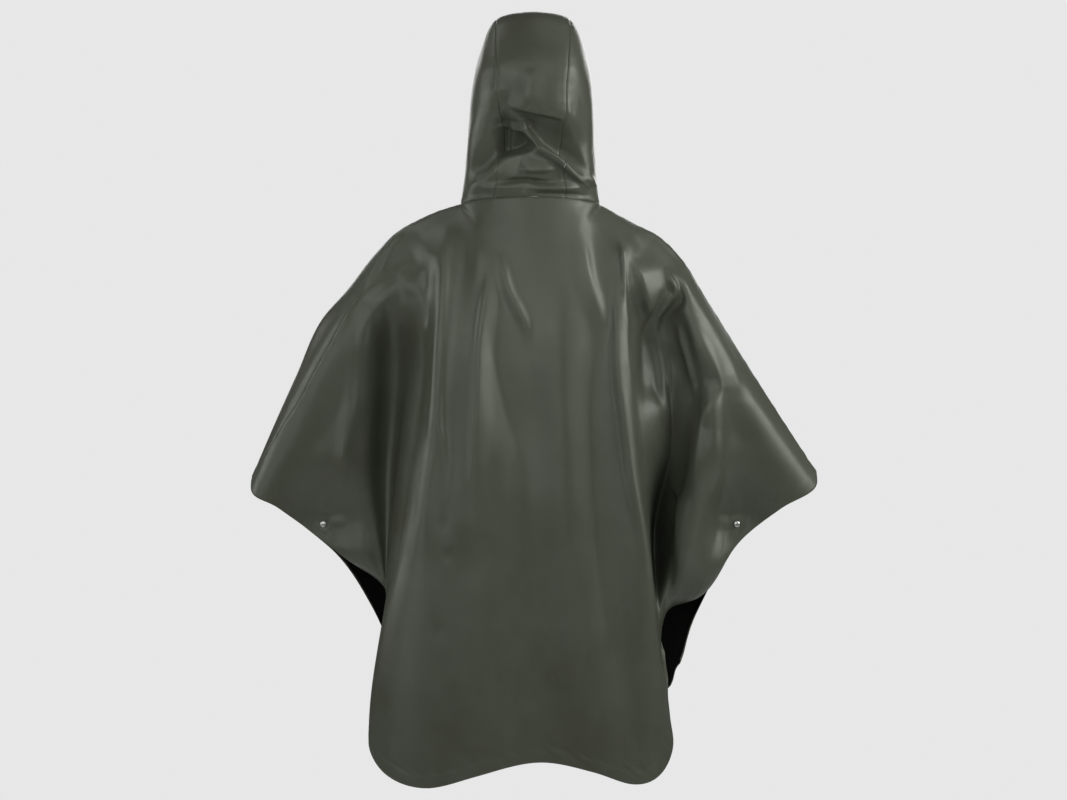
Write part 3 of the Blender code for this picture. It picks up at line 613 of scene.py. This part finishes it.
def crease_lift(creases, points, spots, place_of):
    """How far a table of creases lifts each point of a grid.

    A crease is a roof. Its two flat sides fall by f = 1 - (sqrt((d / w)² + s²) - s) / spread, where d is
    the distance from its line, w its width on that side and s its roundness, and they run out softly as
    (f + sqrt(f² + soft²)) / (1 + sqrt(1 + soft²)). It dies away to both ends. place_of turns spots into
    fractional rows and columns of the grid.
    """
    lift = np.zeros(points.shape[:2])
    for through_spots, width_left, width_right, height, roundness in creases:
        turns = np.linspace(0, len(through_spots) - 1, CREASE_STEPS + 1)
        line_spots = through(np.arange(len(through_spots)), through_spots, turns)
        line = read_grid(points, *place_of(line_spots))
        gap, share, left = beside(points, spots, line, line_spots)
        width = np.where(left, width_left, width_right)
        fall = 1 - (np.sqrt((gap / width) ** 2 + roundness**2) - roundness) / CREASE_SPREAD
        ridge = (fall + np.sqrt(fall**2 + CREASE_SOFT**2)) / (1 + np.sqrt(1 + CREASE_SOFT**2))
        ends = smooth_step(share / CREASE_HEAD) * smooth_step((1 - share) / CREASE_FOOT)
        lift += height * ridge * ends
    return lift


def puckers(along, away_from_edge):
    """Small puckers square to a sewn line: the mean of three sines along it, fading away from it."""
    wave = sum(np.sin(2 * np.pi * along / length + k) for k, length in enumerate(PUCKER_LENGTHS)) / 3
    return PUCKER * wave * np.exp(-((away_from_edge / PUCKER_REACH) ** 2))


def seam_lift(gap, along):
    """The cloth turns in at a seam by a dip exp(-(d / w)²), and lies a little high over its allowance."""
    dip = -SEAM_DIP * np.exp(-((gap / SEAM_TURN) ** 2))
    lap = SEAM_RAISE * (1 - smooth_step((gap - SEAM_LAP) / SEAM_TURN))
    return dip + lap + puckers(along, gap)


def hem_lift(gap, along):
    """The taped hem stands a little high, with a fine groove along its inner line and small puckers."""
    band = HEM_RAISE * (1 - smooth_step((gap - HEM_BAND) / (2 * HEM_LINE)))
    groove = -HEM_RAISE * np.exp(-(((gap - HEM_BAND) / HEM_LINE) ** 2))
    return band + groove + puckers(along, gap - HEM_BAND)


def arc_lengths(points, axis):
    """The distance run along each mesh line of a grid, as the sum of the steps up to each point."""
    steps = np.linalg.norm(np.diff(points, axis=axis), axis=2)
    run = np.cumsum(steps, axis=axis)
    return np.concatenate([np.zeros_like(np.take(run, [0], axis=axis)), run], axis=axis)


def varied(tree, noise, values):
    """A value that runs from the first of values to the second as a noise runs over its usual range."""
    sockets = {
        "Value": noise.outputs["Fac"], "From Min": NOISE_RANGE[0], "From Max": NOISE_RANGE[1],
        "To Min": values[0], "To Max": values[1],
    }
    return add_node(tree, "ShaderNodeMapRange", sockets).outputs["Result"]


def coated_cloth():
    """The smooth coating: a soft mottle of two olives, a fine grain, and slow changes of form and gloss."""
    made, tree, shader = new_finish("olive_coated_cloth")
    place = add_node(tree, "ShaderNodeTexCoord").outputs["Object"]
    mottle = add_node(
        tree, "ShaderNodeTexNoise",
        {"Vector": place, "Scale": MOTTLE_SCALE, "Detail": 5.0, "Roughness": 0.6},
    )
    ramp = add_node(tree, "ShaderNodeValToRGB", {"Fac": mottle.outputs["Fac"]})
    for end, position, colour in zip(ramp.color_ramp.elements, MOTTLE_EDGES, (OLIVE_DARK, OLIVE_LIGHT)):
        end.position = position
        end.color = colour
    gloss = add_node(tree, "ShaderNodeTexNoise", {"Vector": place, "Scale": GLOSS_SCALE, "Detail": 3.0})
    rough = varied(tree, gloss, CLOTH_ROUGHNESS)
    drawn_out = add_node(tree, "ShaderNodeMapping", {"Vector": place, "Scale": UNEVEN_STRETCH})
    uneven = add_node(
        tree, "ShaderNodeTexNoise",
        {"Vector": drawn_out.outputs[0], "Scale": UNEVEN_SCALE, "Detail": 2.0},
    )
    grain = add_node(tree, "ShaderNodeTexNoise", {"Vector": place, "Scale": GRAIN_SCALE, "Detail": 2.0})
    soft = add_node(
        tree, "ShaderNodeBump",
        {"Strength": 0.35, "Distance": 0.0025, "Height": uneven.outputs["Fac"]},
    )
    fine = add_node(
        tree, "ShaderNodeBump",
        {"Strength": 0.20, "Distance": 0.0002, "Height": grain.outputs["Fac"], "Normal": soft.outputs[0]},
    )
    tree.links.new(ramp.outputs["Color"], shader.inputs["Base Color"])
    tree.links.new(rough, shader.inputs["Roughness"])
    tree.links.new(fine.outputs["Normal"], shader.inputs["Normal"])
    shader.inputs["Specular IOR Level"].default_value = CLOTH_GLOSS
    shader.inputs["Specular Tint"].default_value = GLOSS_TINT
    return made


def knit_inside():
    """The cloth's inner side: a matt black knit, whose fine ribs are a bump of slightly bent waves."""
    made, tree, shader = new_finish("black_knit_inside")
    place = add_node(tree, "ShaderNodeTexCoord").outputs["Object"]
    ribs = add_node(
        tree, "ShaderNodeTexWave",
        {"Vector": place, "Scale": KNIT_SCALE, "Distortion": 1.5, "Detail": 1.0},
    )
    bump = add_node(
        tree, "ShaderNodeBump",
        {"Strength": 0.4, "Distance": 0.0003, "Height": ribs.outputs["Fac"]},
    )
    tree.links.new(bump.outputs["Normal"], shader.inputs["Normal"])
    shader.inputs["Base Color"].default_value = KNIT_BLACK
    shader.inputs["Roughness"].default_value = KNIT_ROUGHNESS
    shader.inputs["Specular IOR Level"].default_value = KNIT_GLOSS
    return made


olive = coated_cloth()
knit = knit_inside()


def sheet_of_cloth(name, points, hemmed, flip=False):
    """A thin shell on a grid of points, coated outside and knit inside, but coated inside too where hemmed."""
    rows, columns = points.shape[:2]
    corner = np.arange(rows * columns).reshape(rows, columns)
    corners = [corner[:-1, :-1], corner[:-1, 1:], corner[1:, 1:], corner[1:, :-1]]
    faces = np.stack(corners, axis=2).reshape(-1, 4)
    faces = faces[:, ::-1] if flip else faces
    finishes = (olive, knit, olive, olive)  # outside and inside, then both sides of the turned hem
    piece = new_piece(name, points.reshape(-1, 3).tolist(), faces.tolist(), finishes)
    turned = hemmed[:-1, :-1] & hemmed[1:, 1:]
    piece.data.polygons.foreach_set("material_index", np.where(turned.ravel(), HEM_FINISH, 0))
    piece.data.shade_smooth()
    wall = piece.modifiers.new("wall", "SOLIDIFY")
    wall.thickness = CLOTH_WALL
    wall.offset = 0.0
    wall.material_offset = 1  # the inner side takes the next finish
    return piece


def body_panel(name, away, rows, columns, creases, flip):
    """The back or the front, lifted along its normal by its creases, seam, hem and the rings at the snaps.

    A row's place is seam + row * (away - seam), so the rows run evenly from the seam to the hem.
    """
    seam_table = np.array(SEAM_PLACE)
    seam = np.interp(columns, seam_table[:, 0], seam_table[:, 1])
    places = seam + rows[:, None] * (away - seam)
    points = body_points(columns, places, away)
    spots = np.stack([np.broadcast_to(columns, places.shape), places], axis=2)

    def place_of(line_spots):
        seam_there = np.interp(line_spots[:, 0], columns, seam)
        share = (line_spots[:, 1] - seam_there) / (away - seam_there)
        at_row = np.interp(share, rows, np.arange(len(rows)))
        return at_row, np.interp(line_spots[:, 0], columns, np.arange(len(columns)))

    down = arc_lengths(points, 0)
    sideways = arc_lengths(points, 1)
    to_hem = np.minimum(down[-1:] - down, np.minimum(sideways, sideways[:, -1:] - sideways))
    lift = crease_lift(creases, points, spots, place_of)
    snap_gap = near_snaps(points)
    lift *= smooth_step((snap_gap - RING_RADIUS) / SNAP_FLAT) * smooth_step(down / SEAM_HOLD)
    lift += seam_lift(down, sideways) + hem_lift(to_hem, down + sideways)
    lift -= RING_DEPTH * np.exp(-(((snap_gap - RING_RADIUS) / RING_WIDTH) ** 2))
    points = points + lift[..., None] * normals_of(points, (0, away, 0))
    inward = points[1] - points[0]
    points[0] += SEAM_SETBACK * inward / np.linalg.norm(inward, axis=1, keepdims=True)
    return sheet_of_cloth(name, points, to_hem < HEM_TURN, flip)


def hang(cloth, node):
    """Dresses one node of the frame in its sheet of cloth: hangs the sheet from the root and hides the node.
    """
    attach(cloth, "root")
    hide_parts(node)


columns = spread(COLUMN_SPACING)
rows = spread(ROW_SPACING)
back = body_panel("back_cloth", 1, rows, columns, BACK_CREASES, False)
hang(back, "back")

# ---------------------------------------------------------------- front
# The same cloth, cut from cuff to cuff but shorter. It hangs from the shoulder and arm seams, and its
# throat is sewn to the hood.

FRONT_CREASES = [
    # spots (across, place), width left, width right, height, round
    ([(0.105, -0.08), (0.085, -0.16), (0.07, -0.26), (0.064, -0.42)], 0.012, 0.01, 0.0045, 0.3),
    ([(-0.1, -0.09), (-0.088, -0.15), (-0.06, -0.24), (-0.052, -0.4), (-0.06, -0.56)],
     0.01, 0.014, 0.0045, 0.3),
    ([(0.06, -0.05), (0.04, -0.11), (0.01, -0.17), (-0.004, -0.24)], 0.01, 0.01, 0.0035, 0.4),
    ([(-0.06, -0.06), (-0.04, -0.12), (-0.012, -0.19)], 0.008, 0.008, 0.003, 0.3),
    ([(0.17, -0.11), (0.178, -0.2), (0.176, -0.34), (0.184, -0.56), (0.196, -0.8)],
     0.012, 0.01, 0.006, 0.3),
    ([(-0.168, -0.1), (-0.176, -0.21), (-0.188, -0.38), (-0.196, -0.6), (-0.206, -0.85)],
     0.01, 0.012, 0.006, 0.3),
    ([(0.23, -0.13), (0.246, -0.22), (0.262, -0.34), (0.25, -0.5)], 0.018, 0.018, -0.007, 0.6),
    ([(-0.226, -0.12), (-0.25, -0.2), (-0.268, -0.33), (-0.262, -0.48)], 0.02, 0.018, -0.008, 0.6),
    ([(0.3, -0.1), (0.33, -0.14), (0.4, -0.2), (0.45, -0.3), (0.5, -0.44)], 0.012, 0.014, 0.006, 0.3),
    ([(-0.29, -0.11), (-0.32, -0.14), (-0.38, -0.18), (-0.44, -0.29), (-0.48, -0.42)],
     0.014, 0.012, 0.006, 0.3),
    ([(0.36, -0.11), (0.45, -0.13), (0.54, -0.21), (0.6, -0.3)], 0.016, 0.016, 0.003, 0.5),
    ([(-0.35, -0.1), (-0.43, -0.12), (-0.52, -0.17), (-0.61, -0.3)], 0.016, 0.016, 0.003, 0.5),
    ([(0.02, -0.45), (0.01, -0.6), (0.004, -0.8)], 0.024, 0.024, -0.003, 0.8),
]

front = body_panel("front_cloth", -1, rows, columns, FRONT_CREASES, True)
hang(front, "front")

# ---------------------------------------------------------------- hood
# Three pieces of the same cloth: two sides and a centre strip from the nape over the head to the face,
# sewn to each other, to the neck, and at the throat.

HOOD_LEAN = 0.018  # the hood leans to the wearer's right by this much of its height
STRIP_ROUND = 1 - 1 / 6  # how far round the centre strip is sewn to the sides

# Hoops from the neck seam back and over the head to the face opening, read as the neck seam is.
HOOPS = [
    # throat, jaw and side, and under them upper side, strip seam and centre
    NECK_HOOP,
    ((0, -0.091, -0.043), (0.081, -0.064, 0.010), (0.115, 0.006, 0.045),
     (0.101, 0.048, 0.048), (0.057, 0.075, 0.050), (0, 0.083, 0.052)),
    ((0, -0.095, -0.036), (0.085, -0.062, 0.045), (0.1105, 0.012, 0.095),
     (0.099, 0.056, 0.100), (0.054, 0.082, 0.105), (0, 0.088, 0.107)),
    ((0, -0.099, -0.029), (0.087, -0.062, 0.075), (0.1085, 0.014, 0.138),
     (0.099, 0.066, 0.150), (0.056, 0.106, 0.156), (0, 0.116, 0.158)),
    ((0, -0.102, -0.023), (0.087, -0.066, 0.095), (0.1055, 0.012, 0.185),
     (0.095, 0.074, 0.215), (0.060, 0.114, 0.232), (0, 0.124, 0.238)),
    ((0, -0.106, -0.017), (0.085, -0.078, 0.108), (0.0995, -0.018, 0.220),
     (0.089, 0.032, 0.268), (0.063, 0.060, 0.306), (0, 0.070, 0.319)),
    ((0, -0.109, -0.011), (0.082, -0.094, 0.115), (0.0945, -0.058, 0.212),
     (0.084, -0.036, 0.268), (0.061, -0.018, 0.319), (0, -0.012, 0.3315)),
    ((0, -0.113, -0.004), (0.077, -0.110, 0.110), (0.0870, -0.114, 0.180),
     (0.078, -0.118, 0.230), (0.058, -0.120, 0.266), (0, -0.123, 0.277)),
]
HOOD_FOLDS = [
    # head round, up; middle round, up; foot round, up; width, height
    (0.90, 0.345, 1.06, 0.250, 1.36, 0.100, 0.070, 0.006),
]

# Creases of the hood. Their spots are (round, up): round is 0 at the throat, 1 at the middle of the back
# and above 1 on the wearer's right, and up runs from 0 at the neck seam to 1 at the face.
HOOD_CREASES = [
    # spots, width left, width right, height, round
    # the crown's corners, along both strip seams
    ([(0.833, 0.44), (0.833, 0.6), (0.833, 0.74), (0.833, 0.88)], 0.016, 0.022, 0.003, 0.6),
    ([(1.167, 0.44), (1.167, 0.6), (1.167, 0.74), (1.167, 0.88)], 0.022, 0.016, 0.003, 0.6),
    # where the back of the head's bulge ends in an overhang, and the bulge's own ridge
    ([(0.87, 0.448), (0.915, 0.436), (1.0, 0.42), (1.09, 0.408), (1.2, 0.392)], 0.004, 0.03, 0.013, 0.15),
    ([(1.0, 0.56), (0.99, 0.48), (0.975, 0.418)], 0.012, 0.012, 0.005, 0.4),
    # below it the cloth slants in to the foot of a long double ridge, which runs to the neck's right side
    ([(0.89, 0.425), (0.945, 0.385), (0.99, 0.345), (1.06, 0.282), (1.145, 0.236), (1.22, 0.19),
      (1.34, 0.085)], 0.005, 0.028, -0.015, 0.2),
    ([(0.87, 0.42), (0.915, 0.385), (0.965, 0.333), (1.04, 0.262), (1.13, 0.214), (1.2, 0.165),
      (1.37, 0.035)], 0.006, 0.005, 0.011, 0.12),
    ([(0.89, 0.424), (0.95, 0.368), (1.02, 0.305), (1.09, 0.255)], 0.003, 0.003, 0.0045, 0.15),
    # the dark pocket left of the ridge, which ends on the edge of a lower fold
    ([(0.785, 0.236), (0.85, 0.238), (0.93, 0.248), (1.06, 0.27)], 0.005, 0.032, -0.034, 0.2),
    ([(0.82, 0.46), (0.826, 0.39), (0.838, 0.32), (0.872, 0.215)], 0.01, 0.003, 0.006, 0.15),
    # the right side's dark slant and its rim
    ([(1.16, 0.52), (1.19, 0.4), (1.25, 0.28), (1.33, 0.15), (1.4, 0.05)], 0.014, 0.016, 0.01, 0.15),
    # the left side's dark slant, its rim, and the ridge at its foot
    ([(0.8, 0.56), (0.79, 0.43), (0.715, 0.27), (0.64, 0.18), (0.56, 0.11)], 0.02, 0.014, 0.011, 0.15),
    ([(0.838, 0.5), (0.842, 0.34), (0.828, 0.245), (0.745, 0.16), (0.59, 0.07)],
     0.02, 0.008, -0.013, 0.3),
    ([(0.875, 0.225), (0.82, 0.18), (0.75, 0.118), (0.61, 0.045)], 0.01, 0.012, 0.009, 0.2),
    # folds over the neck seam
    ([(0.93, 0.168), (0.96, 0.158), (1.03, 0.152), (1.15, 0.166)], 0.004, 0.012, 0.008, 0.2),
    ([(0.84, 0.094), (0.96, 0.102), (1.04, 0.094), (1.14, 0.084)], 0.003, 0.003, -0.0075, 0.3),
    ([(0.74, 0.07), (0.88, 0.064), (0.99, 0.056)], 0.006, 0.005, 0.0055, 0.25),
    ([(0.96, 0.052), (1.09, 0.056), (1.22, 0.068), (1.31, 0.08)], 0.005, 0.006, 0.007, 0.25),
    ([(0.98, 0.022), (1.14, 0.026), (1.32, 0.028)], 0.003, 0.003, -0.004, 0.3),
]
HOOD_ROUND_SPACING = 0.0055  # how close the mesh lines stand, as shares round and up
HOOD_UP_SPACING = [
    (0.0, 0.0022), (0.02, 0.0028), (0.45, 0.0034), (0.60, 0.0060), (0.95, 0.0070), (1.0, 0.0040),
]
SIDE_FLAT = (0.36, 0.33)  # width and height of the cloth that a side is cut from
SIDE_AREA = 0.082
STRIP_FLAT = (0.13, 0.62)  # and of the cloth for the strip
STRIP_AREA = 0.072


def hood_points(rounds, ups):
    """The hood's cloth without its creases, on a grid: the smooth surface through all the hoops, leaning."""
    lines = np.array([hoop_points(hoop, rounds) for hoop in HOOPS])
    stations = np.linspace(0, 1, len(lines))
    grid = through(stations, lines.reshape(len(lines), -1), ups).reshape(len(ups), len(rounds), 3)
    grid[..., 0] -= HOOD_LEAN * (grid[..., 2] - lines[0, :, 2])
    spread_rounds, rise = np.meshgrid(rounds, ups)
    lift = sum(fold_height(row, spread_rounds, rise) for row in HOOD_FOLDS)
    return grid + lift[..., None] * normals_of(grid, grid - grid.mean(axis=(0, 1)))


def hood_place_of(line_spots):
    """Where (round, up) spots lie in the hood's grid, as fractional rows and columns."""
    at_row = np.interp(line_spots[:, 1], ups, np.arange(len(ups)))
    return at_row, np.interp(line_spots[:, 0], all_rounds, np.arange(len(all_rounds)))


ups = spread(HOOD_UP_SPACING)
strip_seams = (STRIP_ROUND, 2 - STRIP_ROUND)
side_count = round(STRIP_ROUND / HOOD_ROUND_SPACING)
strip_count = round((2 - 2 * STRIP_ROUND) / HOOD_ROUND_SPACING)
HOOD_PIECES = [
    # name, node, first round, last round, columns, flat, area
    ("hood_left_cloth", "hood_left", 0.0, strip_seams[0], side_count, SIDE_FLAT, SIDE_AREA),
    ("hood_strip_cloth", "hood_strip", strip_seams[0], strip_seams[1], strip_count, STRIP_FLAT, STRIP_AREA),
    ("hood_right_cloth", "hood_right", strip_seams[1], 2.0, side_count, SIDE_FLAT, SIDE_AREA),
]
all_rounds = np.concatenate([np.linspace(row[2], row[3], row[4] + 1) for row in HOOD_PIECES])
hood = hood_points(all_rounds, ups)
hood_spots = np.stack(np.meshgrid(all_rounds, ups), axis=2)
hood_up = arc_lengths(hood, 0)
hood_round = arc_lengths(hood, 1)
face_gap = hood_up[-1:] - hood_up
lift = crease_lift(HOOD_CREASES, hood, hood_spots, hood_place_of)
lift += seam_lift(hood_up, hood_round) + hem_lift(face_gap, hood_round)
start = 0
for piece_name, node_name, first, last, count, flat, area in HOOD_PIECES:
    piece_columns = slice(start, start + count + 1)
    start += count + 1
    sideways = arc_lengths(hood[:, piece_columns], 1)
    seam_gap = np.minimum(sideways, sideways[:, -1:] - sideways)
    piece_lift = lift[:, piece_columns] + seam_lift(seam_gap, hood_up[:, piece_columns])
    outward = hood[:, piece_columns] - hood.mean(axis=(0, 1))
    points = hood[:, piece_columns] + piece_lift[..., None] * normals_of(hood[:, piece_columns], outward)
    piece = sheet_of_cloth(piece_name, points, face_gap[:, piece_columns] < HEM_TURN)
    hang(piece, node_name)

# ---------------------------------------------------------------- snaps
# A press stud of pewter-plated brass at each side: a domed cap on the back, the socket and stud between
# the two cloths, and a post's flat head on the front. The parts are pressed through the cloth.

CAP_RADIUS = 0.0058
CAP_HEIGHT = 0.0026
STUD_RADIUS = 0.0052
POST_RADIUS = 0.0042
POST_HEIGHT = 0.0010
METAL_GAP = 0.0003
TURN_STEPS = 64
# Profiles from the middle of the top to the middle of the foot, as shares of a radius and a height.
CAP_PROFILE = [
    (0, 1), (0.20, 0.99), (0.45, 0.93), (0.68, 0.78), (0.86, 0.55), (0.95, 0.36), (1, 0.20), (1, 0.05),
    (0.97, 0), (0, 0),
]
STUD_PROFILE = [
    (0, 1), (0.86, 1), (0.90, 0.94), (0.90, 0.55), (0.97, 0.47), (1, 0.40), (1, 0.05), (0.97, 0), (0, 0),
]
POST_PROFILE = [
    (0, 0.80), (0.42, 0.80), (0.50, 1), (0.78, 1), (0.93, 0.88), (1, 0.55), (1, 0.08), (0.96, 0), (0, 0),
]
PEWTER = (0.50, 0.50, 0.48, 1.0)
WEAR_SCALE = 700.0
PEWTER_ROUGHNESS = (0.20, 0.36)


def pewter():
    """Plated metal, dulled a little by fine wear."""
    made, tree, shader = new_finish("pewter_plate")
    place = add_node(tree, "ShaderNodeTexCoord").outputs["Object"]
    wear = add_node(tree, "ShaderNodeTexNoise", {"Vector": place, "Scale": WEAR_SCALE, "Detail": 3.0})
    tree.links.new(varied(tree, wear, PEWTER_ROUGHNESS), shader.inputs["Roughness"])
    shader.inputs["Base Color"].default_value = PEWTER
    shader.inputs["Metallic"].default_value = 1.0
    return made


def turned_piece(name, profile, radius, height, centre, facing, finish):
    """A profile of (radius, height) shares turned about its axis, which lies along Y towards facing."""
    share = np.array(profile)
    turn = np.linspace(0, 2 * np.pi, TURN_STEPS, endpoint=False)
    rim = share[1:-1]
    ring = radius * rim[:, :1]
    x = centre[0] + ring * np.cos(turn)
    z = centre[2] + ring * np.sin(turn)
    y = centre[1] + facing * height * np.broadcast_to(rim[:, 1:], x.shape)
    points = np.stack([x, y, z], axis=2).reshape(-1, 3)
    poles = [(centre[0], centre[1] + facing * height * share[k, 1], centre[2]) for k in (0, -1)]
    corner = np.arange(len(points)).reshape(len(rim), TURN_STEPS)
    ahead = np.roll(corner, -1, axis=1)
    walls = np.stack([corner[:-1], ahead[:-1], ahead[1:], corner[1:]], axis=2).reshape(-1, 4).tolist()
    top = [(len(points), b, a) for a, b in zip(corner[0], ahead[0])]
    bottom = [(len(points) + 1, a, b) for a, b in zip(corner[-1], ahead[-1])]
    faces = walls + top + bottom
    faces = [face[::-1] for face in faces] if facing < 0 else faces
    piece = new_piece(name, points.tolist() + poles, faces, [finish])
    piece.data.shade_smooth()
    return piece


plate = pewter()
outside = SNAP_CLOTH_GAP / 2 + CAD_WALL + METAL_GAP
between = SNAP_CLOTH_GAP / 2 - METAL_GAP
for side_name, side in (("left", 1), ("right", -1)):
    SNAP_PARTS = [
        # name, profile, radius, height, place along Y, facing
        ("cap", CAP_PROFILE, CAP_RADIUS, CAP_HEIGHT, SNAP_Y + outside, 1),
        ("stud", STUD_PROFILE, STUD_RADIUS, 2 * between, SNAP_Y - between, 1),
        ("post", POST_PROFILE, POST_RADIUS, POST_HEIGHT, SNAP_Y - outside, -1),
    ]
    for part_name, profile, radius, height, along_y, facing in SNAP_PARTS:
        centre = (side * SNAP_X, along_y, SNAP_Z)
        node_name = f"snap_{part_name}_{side_name}"
        part = turned_piece(f"{node_name}_metal", profile, radius, height, centre, facing, plate)
        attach(part, "root")
        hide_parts(node_name)
